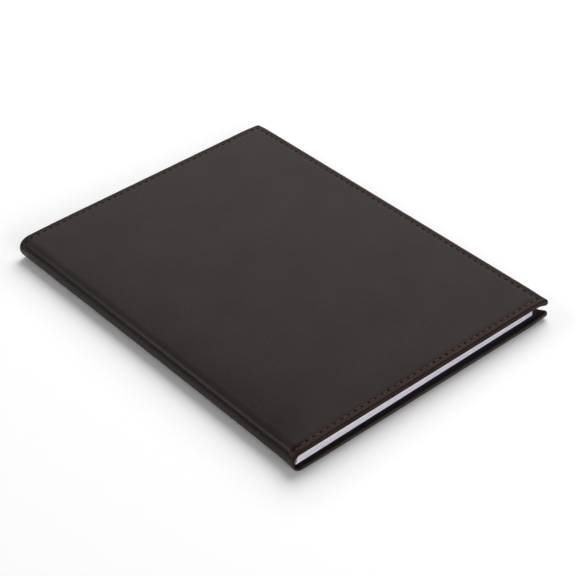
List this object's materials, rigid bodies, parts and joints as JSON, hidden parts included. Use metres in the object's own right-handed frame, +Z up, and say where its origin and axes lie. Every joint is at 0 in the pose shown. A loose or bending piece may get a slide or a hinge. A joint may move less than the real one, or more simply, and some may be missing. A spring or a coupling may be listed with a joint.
{
  "type": "address book",
  "caption": "Slim leather address book lying closed, with a stitched edge, a round spine and tabbed index pages.",
  "frame": {"origin": "middle of the footprint of the closed book, on the surface it lies on", "axes": "+X from the spine to the fore edge, +Y from the tail to the head, +Z up out of the front cover"},
  "size_m": [0.16, 0.217, 0.0124],
  "materials": {
    "leather": "satin",
    "thread": "matte",
    "board": "matte",
    "endpaper": "matte",
    "page_paper": "matte",
    "index_card": "matte",
    "binding_cloth": "matte"
  },
  "bodies": {
    "back_cover": {"back_cover_leather": "leather", "back_board": "board", "back_infill": "board", "back_seam_stitches": "thread", "back_inner_stitches": "thread", "back_pastedown": "endpaper", "back_joint_leather": "leather", "spine_cloth": "binding_cloth"},
    "spine": {"spine_leather": "leather", "front_joint_leather": "leather", "spine_lining": "binding_cloth", "spine_seam_stitches": "thread"},
    "front_cover": {"front_cover_leather": "leather", "front_board": "board", "front_infill": "board", "front_seam_stitches": "thread", "front_inner_stitches": "thread", "front_pastedown": "endpaper"},
    "front_leaves": {"front_flyleaf": "endpaper", "front_notes_leaves": "page_paper"},
    "section_ab": {"index_divider_ab": "index_card", "leaves_ab": "page_paper"},
    "section_cd": {"index_divider_cd": "index_card", "leaves_cd": "page_paper"},
    "section_ef": {"index_divider_ef": "index_card", "leaves_ef": "page_paper"},
    "section_gh": {"index_divider_gh": "index_card", "leaves_gh": "page_paper"},
    "section_ij": {"index_divider_ij": "index_card", "leaves_ij": "page_paper"},
    "section_kl": {"index_divider_kl": "index_card", "leaves_kl": "page_paper"},
    "section_mn": {"index_divider_mn": "index_card", "leaves_mn": "page_paper"},
    "section_op": {"index_divider_op": "index_card", "leaves_op": "page_paper"},
    "section_qr": {"index_divider_qr": "index_card", "leaves_qr": "page_paper"},
    "section_st": {"index_divider_st": "index_card", "leaves_st": "page_paper"},
    "section_uv": {"index_divider_uv": "index_card", "leaves_uv": "page_paper"},
    "section_wz": {"index_divider_wz": "index_card", "leaves_wz": "page_paper"},
    "back_leaves": {"back_notes_leaves": "page_paper", "back_flyleaf": "endpaper"}
  },
  "joints": [
    {"name": "front_cover_hinge", "type": "hinge", "parent": "spine", "child": "front_cover", "pos_m": [-0.07815, 0, 0.01058], "axis": [0, -1, 0], "range_deg": [0, 90], "deforming": ["front_joint_leather", "spine_lining", "spine_seam_stitches"]},
    {"name": "spine_hinge", "type": "hinge", "parent": "back_cover", "child": "spine", "pos_m": [-0.07815, 0, 0.00182], "axis": [0, -1, 0], "range_deg": [0, 90], "deforming": ["back_joint_leather"]},
    {"name": "front_leaves_hinge", "type": "hinge", "parent": "back_cover", "child": "front_leaves", "pos_m": [-0.07583, 0, 0.0062], "axis": [0, -1, 0], "range_deg": [0, 175], "deforming": ["spine_cloth"]},
    {"name": "section_ab_hinge", "type": "hinge", "parent": "back_cover", "child": "section_ab", "pos_m": [-0.07583, 0, 0.0062], "axis": [0, -1, 0], "range_deg": [0, 173.2]},
    {"name": "section_cd_hinge", "type": "hinge", "parent": "back_cover", "child": "section_cd", "pos_m": [-0.07583, 0, 0.0062], "axis": [0, -1, 0], "range_deg": [0, 171.4]},
    {"name": "section_ef_hinge", "type": "hinge", "parent": "back_cover", "child": "section_ef", "pos_m": [-0.07583, 0, 0.0062], "axis": [0, -1, 0], "range_deg": [0, 169.6]},
    {"name": "section_gh_hinge", "type": "hinge", "parent": "back_cover", "child": "section_gh", "pos_m": [-0.07583, 0, 0.0062], "axis": [0, -1, 0], "range_deg": [0, 167.8]},
    {"name": "section_ij_hinge", "type": "hinge", "parent": "back_cover", "child": "section_ij", "pos_m": [-0.07583, 0, 0.0062], "axis": [0, -1, 0], "range_deg": [0, 166]},
    {"name": "section_kl_hinge", "type": "hinge", "parent": "back_cover", "child": "section_kl", "pos_m": [-0.07583, 0, 0.0062], "axis": [0, -1, 0], "range_deg": [0, 164.2]},
    {"name": "section_mn_hinge", "type": "hinge", "parent": "back_cover", "child": "section_mn", "pos_m": [-0.07583, 0, 0.0062], "axis": [0, -1, 0], "range_deg": [0, 10]},
    {"name": "section_op_hinge", "type": "hinge", "parent": "back_cover", "child": "section_op", "pos_m": [-0.07583, 0, 0.0062], "axis": [0, -1, 0], "range_deg": [0, 8.4]},
    {"name": "section_qr_hinge", "type": "hinge", "parent": "back_cover", "child": "section_qr", "pos_m": [-0.07583, 0, 0.0062], "axis": [0, -1, 0], "range_deg": [0, 6.8]},
    {"name": "section_st_hinge", "type": "hinge", "parent": "back_cover", "child": "section_st", "pos_m": [-0.07583, 0, 0.0062], "axis": [0, -1, 0], "range_deg": [0, 5.2]},
    {"name": "section_uv_hinge", "type": "hinge", "parent": "back_cover", "child": "section_uv", "pos_m": [-0.07583, 0, 0.0062], "axis": [0, -1, 0], "range_deg": [0, 3.6]},
    {"name": "section_wz_hinge", "type": "hinge", "parent": "back_cover", "child": "section_wz", "pos_m": [-0.07583, 0, 0.0062], "axis": [0, -1, 0], "range_deg": [0, 2]},
    {"name": "back_leaves_hinge", "type": "hinge", "parent": "back_cover", "child": "back_leaves", "pos_m": [-0.07583, 0, 0.0062], "axis": [0, -1, 0], "range_deg": [0, 0.8]}
  ],
  "couplings": [
    {"joint": "spine_hinge", "follows": "front_cover_hinge", "ratio": 1},
    {"joint": "front_leaves_hinge", "follows": "front_cover_hinge", "ratio": 1.9444},
    {"joint": "section_ab_hinge", "follows": "front_cover_hinge", "ratio": 1.9244},
    {"joint": "section_cd_hinge", "follows": "front_cover_hinge", "ratio": 1.9044},
    {"joint": "section_ef_hinge", "follows": "front_cover_hinge", "ratio": 1.8844},
    {"joint": "section_gh_hinge", "follows": "front_cover_hinge", "ratio": 1.8644},
    {"joint": "section_ij_hinge", "follows": "front_cover_hinge", "ratio": 1.8444},
    {"joint": "section_kl_hinge", "follows": "front_cover_hinge", "ratio": 1.8244},
    {"joint": "section_mn_hinge", "follows": "front_cover_hinge", "ratio": 0.11111},
    {"joint": "section_op_hinge", "follows": "front_cover_hinge", "ratio": 0.093333},
    {"joint": "section_qr_hinge", "follows": "front_cover_hinge", "ratio": 0.075556},
    {"joint": "section_st_hinge", "follows": "front_cover_hinge", "ratio": 0.057778},
    {"joint": "section_uv_hinge", "follows": "front_cover_hinge", "ratio": 0.04},
    {"joint": "section_wz_hinge", "follows": "front_cover_hinge", "ratio": 0.022222},
    {"joint": "back_leaves_hinge", "follows": "front_cover_hinge", "ratio": 0.008889}
  ]
}
